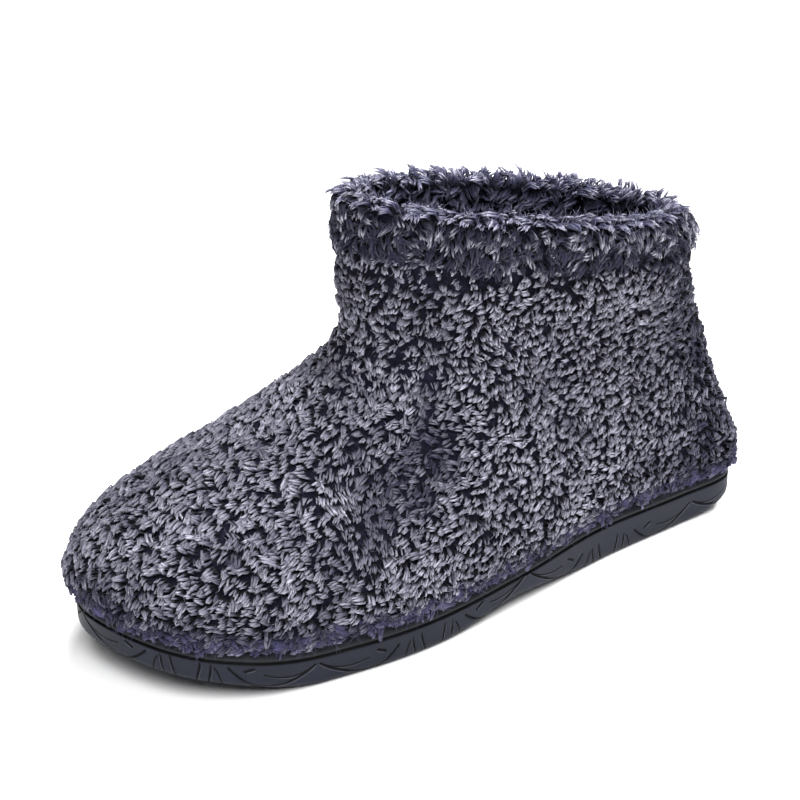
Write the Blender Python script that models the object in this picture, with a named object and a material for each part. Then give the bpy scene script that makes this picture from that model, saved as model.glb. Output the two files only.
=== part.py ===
"""Left bootie slipper: a moulded rubber cup sole, a deep-pile fleece upper with a rolled collar, and an insole.

Metres, +Z up, +X from heel to toe, +Y to the outer (lateral) side of the left foot.
The shapes are worked out with X from the heel's back edge; the finished solids are then moved so that the
origin lies on the floor, under the middle of the whole slipper.
"""
import math
import random

import bmesh
import bpy
import numpy as np
from mathutils import Vector

# Driving sizes of the last and sole
SOLE_LENGTH = 0.288
BALL_WIDTH = 0.106
INSTEP_HEIGHT = 0.100        # floor to the pile where the vamp meets the shaft
COLLAR_FRONT = 0.159         # floor to the collar's edge over the instep
COLLAR_BACK = 0.130          # floor to the collar's edge over the heel

# The sole's own sizes
SOLE_DEPTH = 0.0215          # floor to the rim where the heel is tallest
TREAD_EDGE_RADIUS = 0.0035
RIM_LEAN = 0.0030            # how far the lip above the parting groove leans in
RIM_RADIUS = 0.0005
GROOVE_DEPTH = 0.0011
GROOVE_WIDTH = 0.0014
CUP_WALL = 0.0030
CUP_DEPTH = 0.0045
LUG_DEPTH = 0.0020
LUG_GAP = 0.0028             # width of the wave-shaped grooves between the lugs
LUG_PITCH = 0.0190
LUG_BORDER = 0.0095          # plain border around the lugs
WAVE_HEIGHT = 0.0035
ARC_DEPTH = 0.0009           # the arcs engraved in the side wall
ARC_WIDTH = 0.0015
ARC_MARGIN = 0.0007          # from the arcs to the wall's edges
ARC_TILES = 14               # times that the arcs' pattern goes round the sole
CUT_OVER = 0.0008            # how far a cutter reaches past the face that it cuts

# The upper's own sizes
FABRIC_WALL = 0.0030         # fleece backing with its lining
PILE_RELIEF = 0.0050         # how far a long lock stands out of the pile's floor
PILE_OVERHANG = 0.0020       # how far the pile's floor bulges past the sole's edge
PILE_START = 0.0035          # from the rim up to the lowest locks
BULGE_START = 0.0110         # from the rim up to where the bulge is full
COLLAR_ROLL = 0.0022         # how far the turned hem stands out of the shaft
COLLAR_RELIEF = 0.0032       # how far a lock stands out of the hem
SEAM_WIDTH = 0.0070
SEAM_RELIEF = 0.0016         # how far a lock stands out beside the seam
HEM_DEPTH = 0.0150           # collar edge to the hem seam
HEM_STEP = 0.0022            # height over which the hem steps out at its seam

# The insole's own sizes
INSOLE_THICKNESS = 0.0050
INSOLE_EDGE_RADIUS = 0.0014

CLEARANCE = 0.0003           # between pieces that meet
SHARP_ANGLE = math.radians(32)
SEED = 11

# Numbers of facets
AROUND = 68
PILE_ROWS = 18
HEM_ROWS = 3
LINING_ROWS = 12
FINE_ROWS = 60               # rows that the lining is measured from
WAVE_STEPS = 4
ARC_STEPS = 3

# The outline of the sole's tread seen from above. A row is a station along the length.
# Columns: share of SOLE_LENGTH from the heel, lateral and medial edge as shares of half BALL_WIDTH
OUTLINE = (
    (0.030, 0.56, -0.50),
    (0.130, 0.62, -0.66),
    (0.290, 0.70, -0.64),
    (0.450, 0.87, -0.63),
    (0.620, 0.98, -0.88),
    (0.750, 0.94, -1.00),
    (0.870, 0.82, -0.95),
    (0.955, 0.45, -0.72),
)
HEEL_POINT = 0.03            # Y of the outline's ends, as shares of half BALL_WIDTH
TOE_POINT = -0.22

# Heights of the sole along its length, as shares of SOLE_DEPTH.
# Columns: share of SOLE_LENGTH, underside, parting groove, rim
SOLE_HEIGHTS = (
    (0.00, 0.36, 0.78, 1.02),
    (0.12, 0.00, 0.68, 0.92),
    (0.30, 0.00, 0.72, 0.96),
    (0.46, 0.20, 0.63, 0.87),
    (0.60, 0.00, 0.56, 0.80),
    (0.76, 0.00, 0.58, 0.82),
    (0.90, 0.38, 0.85, 1.09),
    (1.00, 0.62, 1.12, 1.36),
)

# Rings of the upper, from the sole's edge to the collar.
# Columns: front X and back X as shares of SOLE_LENGTH, height of the front (0 is the floor, 1 the instep,
# 2 the collar's front), height of the back as a share of COLLAR_BACK, lateral and medial reach as shares
# of half BALL_WIDTH, X of the widest place as a share of the ring, how much of the sole's outline the
# ring keeps, and how square the ring is (2 is an ellipse)
RINGS = (
    (0.978, 0.004, 0.485, 0.295, 0.99, 1.02, 0.60, 1.00, 2.0),
    (0.946, 0.014, 0.560, 0.380, 0.93, 0.97, 0.58, 0.85, 2.0),
    (0.864, 0.028, 0.675, 0.505, 0.81, 0.86, 0.54, 0.60, 2.1),
    (0.770, 0.040, 0.790, 0.635, 0.73, 0.76, 0.50, 0.35, 2.1),
    (0.686, 0.052, 0.900, 0.735, 0.69, 0.71, 0.47, 0.15, 2.1),
    (0.606, 0.064, 1.050, 0.850, 0.69, 0.71, 0.47, 0.05, 2.1),
    (0.612, 0.065, 1.650, 0.940, 0.72, 0.74, 0.48, 0.00, 2.1),
    (0.592, 0.092, 2.000, 1.000, 0.65, 0.67, 0.48, 0.00, 2.1),
)
COLLAR_Y = -0.06             # where the collar's middle lies, as a share of half BALL_WIDTH

# The seam from the collar's front down both sides to the ball, where the pile lies low.
# Columns: share of SOLE_LENGTH, share of COLLAR_FRONT
SEAM = ((0.560, 0.90), (0.525, 0.74), (0.545, 0.60), (0.582, 0.48), (0.610, 0.39), (0.690, 0.33), (0.760, 0.22))

# One tile of the pattern engraved in the side wall.
# Columns: start and end along the tile, start and end up the wall, and how far the arc bows up, all as shares
ARCS = (
    (0.06, 0.56, 0.10, 0.95, 0.22),
    (0.34, 0.90, 0.02, 0.60, 0.20),
)

NAVY_RUBBER = (0.030, 0.036, 0.055)
FROSTED_FLEECE = (0.24, 0.235, 0.29)
NAVY_FLEECE = (0.025, 0.026, 0.060)


def mixed(a, b, share):
    return a + (b - a) * share


def smooth_table(table, share):
    """The table's row at a share of the length, on a smooth curve through its rows (monotone cubic)."""
    rows = np.array(table, float)
    x = rows[:, 0]
    values = rows[:, 1:]
    slopes = np.diff(values, axis=0) / np.diff(x)[:, None]
    tangents = np.zeros_like(values)
    tangents[0], tangents[-1] = slopes[0], slopes[-1]
    same_way = slopes[:-1] * slopes[1:] > 0
    product = 2 * slopes[:-1] * slopes[1:]
    total = np.where(same_way, slopes[:-1] + slopes[1:], 1.0)
    tangents[1:-1] = np.where(same_way, product / total, 0.0)
    share = min(max(share, x[0]), x[-1])
    i = min(int(np.searchsorted(x, share, side="right")) - 1, len(x) - 2)
    i = max(i, 0)
    width = x[i + 1] - x[i]
    t = (share - x[i]) / width
    return (
        (2 * t**3 - 3 * t**2 + 1) * values[i]
        + (t**3 - 2 * t**2 + t) * width * tangents[i]
        + (3 * t**2 - 2 * t**3) * values[i + 1]
        + (t**3 - t**2) * width * tangents[i + 1]
    )


def closed_curve(points, count):
    """count points at even steps along a closed Catmull-Rom curve through points, from the first one on."""
    points = np.array(points, float)
    n = len(points)
    fine = []
    for i in range(n):
        a, b, c, d = (points[(i + k) % n] for k in (-1, 0, 1, 2))
        for t in np.linspace(0, 1, 24, endpoint=False):
            fine.append(
                0.5 * (2 * b + (c - a) * t + (2 * a - 5 * b + 4 * c - d) * t**2
                       + (3 * b - a - 3 * c + d) * t**3)
            )
    fine.append(fine[0])
    fine = np.array(fine)
    run = np.concatenate([[0], np.cumsum(np.linalg.norm(np.diff(fine, axis=0), axis=1))])
    where = np.arange(count) / count * run[-1]
    return np.stack([np.interp(where, run, fine[:, k]) for k in range(fine.shape[1])], axis=1)


def sole_outline(count=AROUND):
    """The sole's widest outline from above: from the toe along the lateral side to the heel and back."""
    half = BALL_WIDTH / 2
    lateral = [(s * SOLE_LENGTH, lat * half) for s, lat, _ in OUTLINE]
    medial = [(s * SOLE_LENGTH, med * half) for s, _, med in OUTLINE]
    toe = (SOLE_LENGTH, TOE_POINT * half)
    heel = (0.0, HEEL_POINT * half)
    return closed_curve([toe, *lateral[::-1], heel, *medial], count)


def moved_out(outline, distance):
    """The closed outline with each point moved out along its own normal."""
    ahead = np.roll(outline, -1, axis=0) - np.roll(outline, 1, axis=0)
    normal = np.stack([-ahead[:, 1], ahead[:, 0]], axis=1)
    normal /= np.linalg.norm(normal, axis=1)[:, None]
    middle = outline.mean(axis=0)
    if ((outline - middle) * normal).sum() < 0:
        normal = -normal
    return outline + normal * distance


def sole_heights(x):
    """Underside, parting groove and rim heights at X."""
    return smooth_table(SOLE_HEIGHTS, x / SOLE_LENGTH) * SOLE_DEPTH


def level(outline, distance, height_of):
    """A ring of 3D points: the outline moved out by distance, each at the height that height_of gives for its X."""
    flat = moved_out(outline, distance)
    return [Vector((x, y, height_of(x))) for x, y in flat]


def front_height(rise):
    """Height of a ring's front: 0 is the floor, 1 the instep, 2 the collar's edge."""
    if rise < 1:
        return rise * INSTEP_HEIGHT
    return mixed(INSTEP_HEIGHT, COLLAR_FRONT, rise - 1)


def upper_rings(outline):
    """Key rings of the pile's floor, from just above the rim to the collar's edge."""
    half = BALL_WIDTH / 2
    start = level(outline, PILE_OVERHANG / 2, lambda x: sole_heights(x)[2] + PILE_START)
    bulge = level(outline, PILE_OVERHANG, lambda x: sole_heights(x)[2] + BULGE_START)
    rings = [start, bulge]
    for front_x, back_x, front_rise, back_rise, lateral, medial, widest, kept, power in RINGS:
        front, back = front_x * SOLE_LENGTH, back_x * SOLE_LENGTH
        middle = mixed(back, front, widest)
        ring = []
        for i, (sole_x, sole_y) in enumerate(outline):
            turn = 2 * math.pi * i / len(outline)
            c, s = math.cos(turn), math.sin(turn)
            reach = front - middle if c > 0 else middle - back
            side = lateral if s > 0 else medial
            x = middle + reach * math.copysign(abs(c) ** (2 / power), c)
            y = side * half * math.copysign(abs(s) ** (2 / power), s) + COLLAR_Y * half
            # The sole's outline squeezed between this ring's front and back
            x = mixed(x, mixed(back, front, sole_x / SOLE_LENGTH), kept)
            y = mixed(y, sole_y * (lateral if sole_y > 0 else medial), kept)
            share = (x - back) / (front - back)
            ring.append((x, y, mixed(back_rise * COLLAR_BACK, front_height(front_rise), share)))
        rings.append(ring)
    return rings


def through(rings, shares):
    """Rings at the given shares of the way along smooth curves that run up through the key rings."""
    keys = np.array([[tuple(p) for p in ring] for ring in rings])
    knots = np.concatenate([[0], np.cumsum(np.linalg.norm(np.diff(keys, axis=0), axis=2).mean(axis=1))])
    knots /= knots[-1]
    made = []
    for share in shares:
        i = min(max(int(np.searchsorted(knots, share, side="right")) - 1, 0), len(keys) - 2)
        t = (share - knots[i]) / (knots[i + 1] - knots[i])
        b, c = keys[i], keys[i + 1]
        a = keys[i - 1] if i > 0 else 2 * b - c
        d = keys[i + 2] if i + 2 < len(keys) else 2 * c - b
        made.append(
            0.5 * (2 * b + (c - a) * t + (2 * a - 5 * b + 4 * c - d) * t**2
                   + (3 * b - a - 3 * c + d) * t**3)
        )
    return np.array(made)


def outward(grid):
    """Unit normals of a grid of closed rings, pointing away from its middle."""
    around = np.roll(grid, -1, axis=1) - np.roll(grid, 1, axis=1)
    upward = np.gradient(grid, axis=0)
    normal = np.cross(around, upward)
    normal /= np.linalg.norm(normal, axis=2)[..., None]
    if ((grid - grid.mean(axis=(0, 1))) * normal).sum() < 0:
        normal = -normal
    return normal


def lofted(name, rings, finish):
    """A closed solid through rings of equal count, with each end filled by rungs from side to side."""
    count = len(rings[0])
    points = [tuple(p) for ring in rings for p in ring]
    faces = []
    for row in range(len(rings) - 1):
        for i in range(count):
            ahead = (i + 1) % count
            a, b = row * count, (row + 1) * count
            faces.append((a + i, a + ahead, b + ahead, b + i))
    for base in (0, (len(rings) - 1) * count):
        faces.extend(rungs(base, count))
    return solid(name, points, faces, finish)


def rungs(base, count):
    """Faces that fill a ring from its first point to its opposite one, rung by rung."""
    half = count // 2
    faces = [(base, base + 1, base + count - 1)]
    for i in range(1, half - 1):
        faces.append((base + i, base + i + 1, base + count - i - 1, base + count - i))
    faces.append((base + half - 1, base + half, base + half + 1))
    return faces


def solid(name, points, faces, finish):
    mesh = bpy.data.meshes.new(name)
    mesh.from_pydata(points, [], faces)
    shape = bmesh.new()
    shape.from_mesh(mesh)
    bmesh.ops.triangulate(shape, faces=shape.faces, quad_method="SHORT_EDGE")
    bmesh.ops.recalc_face_normals(shape, faces=shape.faces)
    shape.to_mesh(mesh)
    shape.free()
    mesh.shade_smooth()
    mesh.set_sharp_from_angle(angle=SHARP_ANGLE)
    if finish:
        mesh.materials.append(finish)
    thing = bpy.data.objects.new(name, mesh)
    bpy.context.scene.collection.objects.link(thing)
    return thing


def material(name, colour, roughness):
    made = bpy.data.materials.new(name)
    made.use_nodes = True
    shader = made.node_tree.nodes["Principled BSDF"]
    shader.inputs["Base Color"].default_value = (*colour, 1)
    shader.inputs["Roughness"].default_value = roughness
    return made


def bars(name, strips):
    """One object of closed bars, each given by its four-cornered sections in order."""
    points, faces = [], []
    for sections in strips:
        base = len(points)
        points.extend(tuple(p) for section in sections for p in section)
        for row in range(len(sections) - 1):
            for i in range(4):
                a, b = base + 4 * row, base + 4 * (row + 1)
                faces.append((a + i, a + (i + 1) % 4, b + (i + 1) % 4, b + i))
        last = base + 4 * (len(sections) - 1)
        faces.append((base, base + 1, base + 2, base + 3))
        faces.append((last, last + 1, last + 2, last + 3))
    return solid(name, points, faces, None)


def wave_bars():
    """Cutters for the wave-shaped grooves across the tread."""
    half = BALL_WIDTH / 2
    strips = []
    for i in range(int(SOLE_LENGTH / LUG_PITCH) - 1):
        middle = (i + 0.75) * LUG_PITCH
        lateral, medial = smooth_table(OUTLINE, middle / SOLE_LENGTH) * half
        near, far = medial + LUG_BORDER, lateral - LUG_BORDER
        sections = []
        for k in range(WAVE_STEPS + 1):
            y = mixed(near, far, k / WAVE_STEPS)
            x = middle + WAVE_HEIGHT * math.sin(2 * math.pi * y / (2 * half) * 2)
            section = []
            for edge, rise in ((-1, -1), (1, -1), (1, 1), (-1, 1)):
                at = x + edge * LUG_GAP / 2
                floor = sole_heights(at)[0]
                section.append((at, y, floor + (LUG_DEPTH if rise > 0 else -CUT_OVER)))
            sections.append(section)
        strips.append(sections)
    return strips


def arc_bars(outline):
    """Cutters for the arcs engraved in the side wall, every second tile mirrored."""
    count = len(outline)
    lengths = np.linalg.norm(np.roll(outline, -1, axis=0) - outline, axis=1)
    run = np.concatenate([[0], np.cumsum(lengths)])
    closed = np.vstack([outline, outline[:1]])
    outside = moved_out(outline, 1.0) - outline
    outside = np.vstack([outside, outside[:1]])

    def on_wall(along, up, out):
        x, y = (np.interp(along % run[-1], run, closed[:, k]) for k in (0, 1))
        nx, ny = (np.interp(along % run[-1], run, outside[:, k]) for k in (0, 1))
        low, high, _ = sole_heights(x)
        low += TREAD_EDGE_RADIUS + ARC_MARGIN
        high -= GROOVE_WIDTH / 2 + ARC_MARGIN
        return np.array((x + nx * out, y + ny * out, mixed(low, high, up)))

    strips = []
    tile = run[-1] / ARC_TILES
    for place in range(ARC_TILES):
        for start, end, low, high, bow in ARCS:
            path = []
            for k in range(ARC_STEPS + 1):
                t = k / ARC_STEPS
                along = mixed(start, end, t)
                if place % 2:
                    along = 1 - along
                up = mixed(low, high, t) + bow * 4 * t * (1 - t)
                path.append(((place + along) * tile, min(up, 1.0)))
            sections = []
            for k, (along, up) in enumerate(path):
                before, after = path[max(k - 1, 0)], path[min(k + 1, ARC_STEPS)]
                here = on_wall(along, up, 0)
                ahead = on_wall(*after, 0) - on_wall(*before, 0)
                out = on_wall(along, up, 1) - here
                across = np.cross(out, ahead)
                across *= ARC_WIDTH / 2 / np.linalg.norm(across)
                sections.append((
                    here + across - out * ARC_DEPTH, here - across - out * ARC_DEPTH,
                    here - across + out * CUT_OVER, here + across + out * CUT_OVER,
                ))
            strips.append(sections)
    return strips


def build_outsole(outline, finish):
    """The cup sole: tread, rounded edge, wall, parting groove, leaning lip and the recess inside it."""
    def underside(x): return sole_heights(x)[0]
    def groove(x): return sole_heights(x)[1]
    def rim(x): return sole_heights(x)[2]

    round_in = TREAD_EDGE_RADIUS * (1 - math.sqrt(0.5))
    inside = RIM_LEAN + CUP_WALL
    profile = (
        (-TREAD_EDGE_RADIUS, underside, 0),
        (-round_in, underside, round_in),
        (0, underside, TREAD_EDGE_RADIUS),
        (0, groove, -GROOVE_WIDTH / 2),
        (-GROOVE_DEPTH, groove, -GROOVE_WIDTH / 4),
        (-GROOVE_DEPTH, groove, GROOVE_WIDTH / 4),
        (-RIM_RADIUS, groove, GROOVE_WIDTH / 2),
        (RIM_RADIUS - RIM_LEAN, rim, -3 * RIM_RADIUS),
        (-RIM_LEAN, rim, -RIM_RADIUS),
        (-RIM_LEAN - RIM_RADIUS, rim, 0),
        (-inside, rim, 0),
        (-inside, rim, -CUP_DEPTH),
    )
    rings = [level(outline, out, lambda x, at=at, up=up: at(x) + up) for out, at, up in profile]
    sole = lofted("outsole", rings, finish)
    for name, strips in (("tread_cutter", wave_bars()), ("arc_cutter", arc_bars(outline))):
        cutter = bars(name, strips)
        cutter.hide_render = True
        cutter.display_type = "WIRE"
        cut = sole.modifiers.new(name, "BOOLEAN")
        cut.operation = "DIFFERENCE"
        cut.solver = "EXACT"
        cut.object = cutter
    return sole


def build_insole(outline, finish):
    """A pad on the recess's floor, inside the upper's lower edge, with the lining's facets."""
    edge = -(RIM_LEAN + CUP_WALL + FABRIC_WALL + 2 * CLEARANCE)
    low = CLEARANCE - CUP_DEPTH
    high = low + INSOLE_THICKNESS
    r = INSOLE_EDGE_RADIUS
    profile = ((edge - r, low), (edge, low + r), (edge, high - r), (edge - r, high))
    rings = [level(outline, out, lambda x, up=up: sole_heights(x)[2] + up)[::2] for out, up in profile]
    return lofted("insole", rings, finish)


def seam_distance(x, z):
    """Distance from the seam, seen from the side."""
    here = np.array((x, z))
    line = np.array(SEAM) * (SOLE_LENGTH, COLLAR_FRONT)
    nearest = []
    for a, b in zip(line, line[1:]):
        share = np.clip((here - a) @ (b - a) / ((b - a) @ (b - a)), 0, 1)
        nearest.append(np.linalg.norm(here - mixed(a, b, share)))
    return min(nearest)


def build_upper(outline, finish):
    """The hollow sleeve: locks of pile outside, a rolled hem at the collar, a smooth lining inside."""
    keys = upper_rings(outline)
    fine = through(keys, np.linspace(0, 1, FINE_ROWS))
    height = np.linalg.norm(np.diff(fine, axis=0), axis=2).mean(axis=1).sum()
    seam = 1 - HEM_DEPTH / height
    step = seam + HEM_STEP / height
    shares = [*np.linspace(0, seam, PILE_ROWS), *np.linspace(step, 1, HEM_ROWS)]
    grid = through(keys, shares)
    grid[PILE_ROWS:] += outward(grid)[PILE_ROWS:] * COLLAR_ROLL
    # Every second row is turned by half a facet, so that the locks stand in staggered rows
    for row in range(1, len(grid), 2):
        grid[row] = (grid[row] + np.roll(grid[row], -1, axis=0)) / 2

    points = []
    faces = []

    def ring(positions):
        base = len(points)
        points.extend(tuple(p) for p in positions)
        return [base + i for i in range(len(positions))]

    rows = [ring(positions) for positions in grid]
    count = len(outline)
    chance = random.Random(SEED)
    for row in range(len(rows) - 2):
        turned = row % 2
        hem = row >= PILE_ROWS - 1
        if row == PILE_ROWS - 2:
            relief = 0
        else:
            relief = COLLAR_RELIEF if hem else PILE_RELIEF
        for i in range(count):
            low, high = rows[row][i], rows[row + 2][i]
            left = rows[row + 1][i if turned else i - 1]
            right = rows[row + 1][(i + 1) % count if turned else i]
            a, b, c, d = (np.array(points[k]) for k in (low, right, high, left))
            normal = np.cross(b - d, c - a)
            normal /= np.linalg.norm(normal)
            tip = 0.46 * a + 0.17 * (b + d) + 0.20 * c
            low_pile = seam_distance(tip[0], tip[2]) < SEAM_WIDTH / 2
            tip += normal * (min(relief, SEAM_RELIEF) if low_pile else relief) * chance.uniform(0.55, 1.0)
            points.append(tuple(tip))
            top = len(points) - 1
            faces.extend(((low, right, top), (right, high, top), (high, left, top), (left, low, top)))
    for i in range(count):
        faces.append((rows[0][i], rows[0][(i + 1) % count], rows[1][i]))
        last, under = rows[-1], rows[-2]
        if len(rows) % 2:
            faces.append((last[i], last[(i + 1) % count], under[i]))
        else:
            faces.append((last[i], last[(i + 1) % count], under[(i + 1) % count]))

    # The lining: every second point, inside the floor of the pile by the wall's thickness
    edge = -(RIM_LEAN + CUP_WALL + CLEARANCE)
    rim = lambda x: sole_heights(x)[2]
    inner = fine - outward(fine) * FABRIC_WALL
    picks = np.linspace(FINE_ROWS // LINING_ROWS, FINE_ROWS - 1, LINING_ROWS).astype(int)
    lining = [ring(inner[k][::2]) for k in picks]
    lining.insert(0, ring(level(outline, edge - FABRIC_WALL, lambda x: rim(x) + CLEARANCE)[::2]))
    lining.insert(0, ring(level(outline, edge - FABRIC_WALL, lambda x: rim(x) + CLEARANCE - CUP_DEPTH)[::2]))
    for low, high in zip(lining, lining[1:]):
        for i in range(count // 2):
            ahead = (i + 1) % (count // 2)
            faces.append((low[i], low[ahead], high[ahead], high[i]))

    # Under the pile: over the lip, then down inside the recess
    under = [
        ring(level(outline, -RIM_LEAN / 2, lambda x: rim(x) + 2 * CLEARANCE)),
        ring(level(outline, edge, lambda x: rim(x) + CLEARANCE)),
        ring(level(outline, edge, lambda x: rim(x) + CLEARANCE - CUP_DEPTH)),
    ]
    for low, high in zip([rows[0], *under], under):
        for i in range(count):
            ahead = (i + 1) % count
            faces.append((low[i], low[ahead], high[ahead], high[i]))

    # The rounded edge of the collar
    top = grid[-1] if len(rows) % 2 else (grid[-1] + np.roll(grid[-1], 1, axis=0)) / 2
    crest = (top + inner[-1]) / 2 + np.array((0, 0, COLLAR_ROLL))
    crest = ring(crest)
    last = rows[-1]
    for i in range(count):
        ahead = (i + 1) % count
        faces.append((last[i], last[ahead], crest[ahead], crest[i]))
    for fine_ring, coarse in ((crest, lining[-1]), (under[-1], lining[0])):
        for i in range(count // 2):
            ahead = (i + 1) % (count // 2)
            a, b, c = fine_ring[2 * i], fine_ring[2 * i + 1], fine_ring[(2 * i + 2) % count]
            faces.extend(((a, b, coarse[i]), (b, coarse[ahead], coarse[i]), (b, c, coarse[ahead])))
    return solid("upper", points, faces, finish)


def main():
    for thing in list(bpy.data.objects):
        bpy.data.objects.remove(thing, do_unlink=True)
    outline = sole_outline()
    made = [
        build_outsole(outline, material("rubber", NAVY_RUBBER, 0.55)),
        build_upper(outline, material("fleece", FROSTED_FLEECE, 0.95)),
        build_insole(outline, material("lining", NAVY_FLEECE, 0.95)),
    ]
    corners = np.array([tuple(v.co) for thing in made for v in thing.data.vertices])
    low, high = corners.min(axis=0), corners.max(axis=0)
    shift = Vector((-(low[0] + high[0]) / 2, -(low[1] + high[1]) / 2, -low[2]))
    for thing in bpy.data.objects:
        for vertex in thing.data.vertices:
            vertex.co += shift


main()
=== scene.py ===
"""Looks of the left bootie slipper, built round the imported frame.

Metres, +X from the heel to the toe, +Y to the outer side of the left foot, +Z up.
"""
import math

import bmesh
import bpy
import numpy as np
from mathutils import Matrix, Vector, noise
from mathutils.kdtree import KDTree


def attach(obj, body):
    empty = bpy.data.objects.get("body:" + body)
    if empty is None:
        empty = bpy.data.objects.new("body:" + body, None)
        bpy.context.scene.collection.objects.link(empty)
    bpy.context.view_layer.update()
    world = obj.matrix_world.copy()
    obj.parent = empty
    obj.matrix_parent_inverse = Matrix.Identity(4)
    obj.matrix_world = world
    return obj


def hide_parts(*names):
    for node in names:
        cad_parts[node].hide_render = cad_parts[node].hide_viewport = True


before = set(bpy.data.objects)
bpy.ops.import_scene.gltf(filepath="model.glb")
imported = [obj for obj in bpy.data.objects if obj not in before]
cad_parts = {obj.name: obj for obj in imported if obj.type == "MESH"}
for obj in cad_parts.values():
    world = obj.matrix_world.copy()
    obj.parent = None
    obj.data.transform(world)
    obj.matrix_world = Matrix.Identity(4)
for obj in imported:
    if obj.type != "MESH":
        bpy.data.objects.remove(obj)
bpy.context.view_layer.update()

MM = 0.001
SOLE_LENGTH = 0.288
BALL_WIDTH = 0.106
SOLE_DEPTH = 0.0215
SHIFT = (-0.14355, 0.00025)      # from the heel's back edge and the last's middle to the frame's origin
SHAFT = Vector((-0.046, -0.003, 0))      # the shaft's middle axis
SEED = 7
MERGED = 0.00001         # corners of the CAD meshes nearer than this are one vertex

# The sole's outline: share of the length, lateral and medial edge as shares of half the ball's width
OUTLINE = (
    (0.030, 0.56, -0.50), (0.130, 0.62, -0.66), (0.290, 0.70, -0.64), (0.450, 0.87, -0.63),
    (0.620, 0.98, -0.88), (0.750, 0.94, -1.00), (0.870, 0.82, -0.95), (0.955, 0.45, -0.72),
)
HEEL_POINT = 0.03
TOE_POINT = -0.22

# Share of the length, then underside, parting groove and rim as shares of the sole's depth
SOLE_HEIGHTS = np.array((
    (0.00, 0.36, 0.78, 1.02), (0.12, 0.00, 0.68, 0.92), (0.30, 0.00, 0.72, 0.96), (0.46, 0.20, 0.63, 0.87),
    (0.60, 0.00, 0.56, 0.80), (0.76, 0.00, 0.58, 0.82), (0.90, 0.38, 0.85, 1.09), (1.00, 0.62, 1.12, 1.36),
))

# The sole's section
SOLE_STEPS = 880             # points round the sole
EDGE_RADIUS = 0.0035         # the round between the tread and the wall
GROOVE_GAP = 0.0011          # height of the parting groove
GROOVE_EDGE = 0.0003         # the wall ends this far below the groove
GROOVE_PROFILE = (           # how far in, and how far up as a share of the groove's height
    (-0.0002, -0.5), (-0.0008, -0.4), (-0.0011, -0.2), (-0.0011, 0.2), (-0.0008, 0.4), (-0.0003, 0.55),
)
LIP_START = 0.55             # where the lip leaves the groove, as a share of the groove's height
LIP_LEAN = 0.0030            # how far the lip leans in
LIP_ROUND = 0.0008           # the round of the lip's upper edge
LIP_WALL = 0.0030            # width of the rim
RECESS_DEPTH = 0.0045        # from the rim down to the floor that the upper sits on

# The tread's wave-shaped grooves
RUNG_STEPS = 36              # steps from one side of the tread to the other
WAVE_PITCH = 0.0190
WAVE_SWING = 0.0035
WAVE_DEPTH = 0.0020
WAVE_HALF = 0.0014           # half a groove's width
WAVE_SLOPE = 0.0005          # width over which a groove's side falls
TREAD_BORDER = 0.0095        # plain border round the grooves

# One tile of the pattern moulded in the side wall, every second tile mirrored. Each line: start and end
# along the tile, start and end up the pattern, how far it bows up (shares), width and depth (mm)
ARC_TILES = 14
TILE_LENGTH = 0.0508
PATTERN_HEIGHT = 0.0105
WALL_LINES = (
    (0.02, 0.34, 0.92, 0.20, -0.10, 0.9, 0.4), (0.02, 0.42, 0.92, 0.62, -0.22, 0.7, 0.0),
    (0.36, 0.68, 0.20, 0.76, -0.28, 0.9, 0.4), (0.50, 0.56, 0.82, 0.70, 0.00, 1.1, 0.3),
    (0.73, 0.78, 0.05, 0.70, 0.10, 0.7, 0.0), (0.81, 0.83, 0.66, 0.04, 0.00, 0.8, 0.3),
    (0.89, 0.93, 0.74, 0.02, -0.06, 0.9, 0.3),
)

# The collar's edge: where its low end lies and how long it is (shares of the sole's length), height, rise
COLLAR_BACK = 0.092
COLLAR_RUN = 0.500
COLLAR_LOW = 0.130
COLLAR_RISE = 0.029

# How far below the collar's edge each of these reaches
BODY_PILE_TOP = 0.013
HEM_PILE_FOOT = 0.014
PALE_BACKING_FOOT = 0.012
RIDGE_FOOT = 0.005

# The seam from the collar's front down both sides to the ball: share of the sole's length, height
SEAM = np.array((
    (0.560, 0.143), (0.525, 0.118), (0.545, 0.095), (0.582, 0.076), (0.610, 0.062), (0.690, 0.052),
    (0.760, 0.035),
))

# A short crease on the outer side above the arch
CREASE = np.array(((0.375, 0.075), (0.345, 0.066), (0.305, 0.058)))

# Where the body's zones of pile meet
HEEL_END = -0.085
VAMP_START = 0.018
TOE_START = 0.070

LEVELS = 16                  # bands across a pile map, one for each degree of frost
SIDES = 3                    # sides of a lock's finger
FINGER_SHARES = ((0.0, 0.90), (0.46, 1.0), (0.86, 0.80))      # along a finger, share of its width
HAIR_RADIUS = 0.000075

# Sockets that Blender's nodes only number
MIX_FIRST, MIX_SECOND, MIX_COLOUR = 6, 7, 2
OBJECT_COORDINATES = 3
ATTRIBUTE_VALUE = 2


# Shader graphs

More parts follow.
